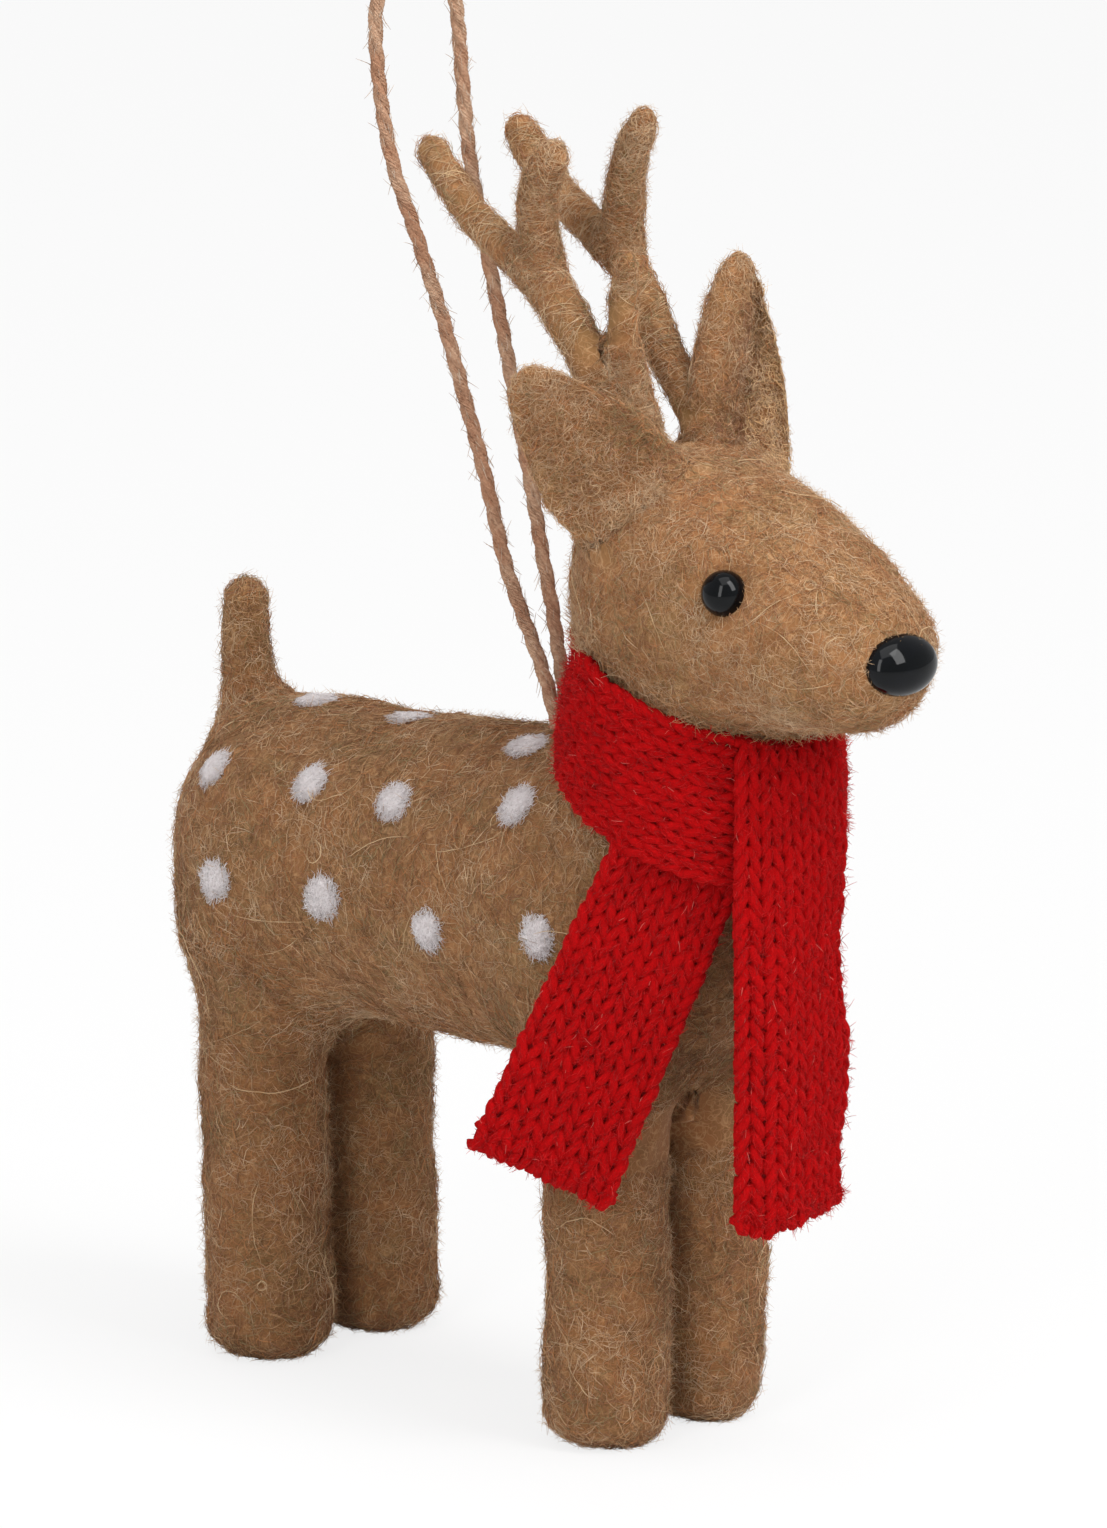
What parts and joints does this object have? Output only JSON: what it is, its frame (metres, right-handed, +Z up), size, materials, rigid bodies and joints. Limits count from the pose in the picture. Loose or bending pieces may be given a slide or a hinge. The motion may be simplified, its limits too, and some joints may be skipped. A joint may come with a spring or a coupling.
{
  "type": "reindeer ornament",
  "caption": "Standing needle-felted reindeer with antlers, white wool spots, glossy bead eyes and nose, a knitted scarf and a twine loop to hang it by.",
  "frame": {"origin": "on the floor under the middle of the whole figure, its hanging loop left out", "axes": "+X the way the reindeer faces, +Y its left, +Z up"},
  "size_m": [0.106, 0.041, 0.1529],
  "materials": {
    "felt": "needle-felted wool, fuzzy and mottled",
    "white_wool": "loose needled wool",
    "knit": "plain machine knit",
    "bead": "polished black",
    "wire": "drawn",
    "jute": "two-ply twine"
  },
  "bodies": {
    "figure": {"torso": "felt", "neck": "felt", "head": "felt", "leg_front_right": "felt", "leg_rear_right": "felt", "leg_front_left": "felt", "leg_rear_left": "felt", "tail": "felt", "ear_right": "felt", "ear_left": "felt", "antler_beam_right": "felt", "antler_upper_tine_right": "felt", "antler_brow_tine_right": "felt", "antler_wire_right": "wire", "antler_beam_left": "felt", "antler_upper_tine_left": "felt", "antler_wire_left": "wire", "eye_right": "bead", "eye_left": "bead", "nose": "bead", "scarf_wrap": "knit", "spot_spine_1": "white_wool", "spot_spine_2": "white_wool", "spot_spine_3": "white_wool", "spot_upper_right_1": "white_wool", "spot_upper_right_2": "white_wool", "spot_upper_right_3": "white_wool", "spot_upper_right_4": "white_wool", "spot_lower_right_1": "white_wool", "spot_lower_right_2": "white_wool", "spot_lower_right_3": "white_wool", "spot_lower_right_4": "white_wool", "spot_upper_left_1": "white_wool", "spot_upper_left_2": "white_wool", "spot_upper_left_3": "white_wool", "spot_upper_left_4": "white_wool", "spot_lower_left_1": "white_wool", "spot_lower_left_2": "white_wool", "spot_lower_left_3": "white_wool", "spot_lower_left_4": "white_wool", "cord_knot": "jute"},
    "hanging_loop": {"hanging_cord": "jute"},
    "front_tail": {"scarf_front_tail": "knit"},
    "side_tail": {"scarf_side_tail": "knit"}
  },
  "joints": [
    {"name": "loop_swing", "type": "hinge", "parent": "figure", "child": "hanging_loop", "pos_m": [-0.00026, 0.00434, 0.073], "axis": [0, -1, 0], "range_deg": [0, 40]},
    {"name": "front_tail_lift", "type": "hinge", "parent": "figure", "child": "front_tail", "pos_m": [0.03625, 0.0025, 0.0612], "axis": [0, -1, 0], "range_deg": [0, 60]},
    {"name": "side_tail_lift", "type": "hinge", "parent": "figure", "child": "side_tail", "pos_m": [0.02736, -0.00701, 0.06434], "axis": [-0.6612, -0.6492, 0.3761], "range_deg": [0, 60]}
  ]
}
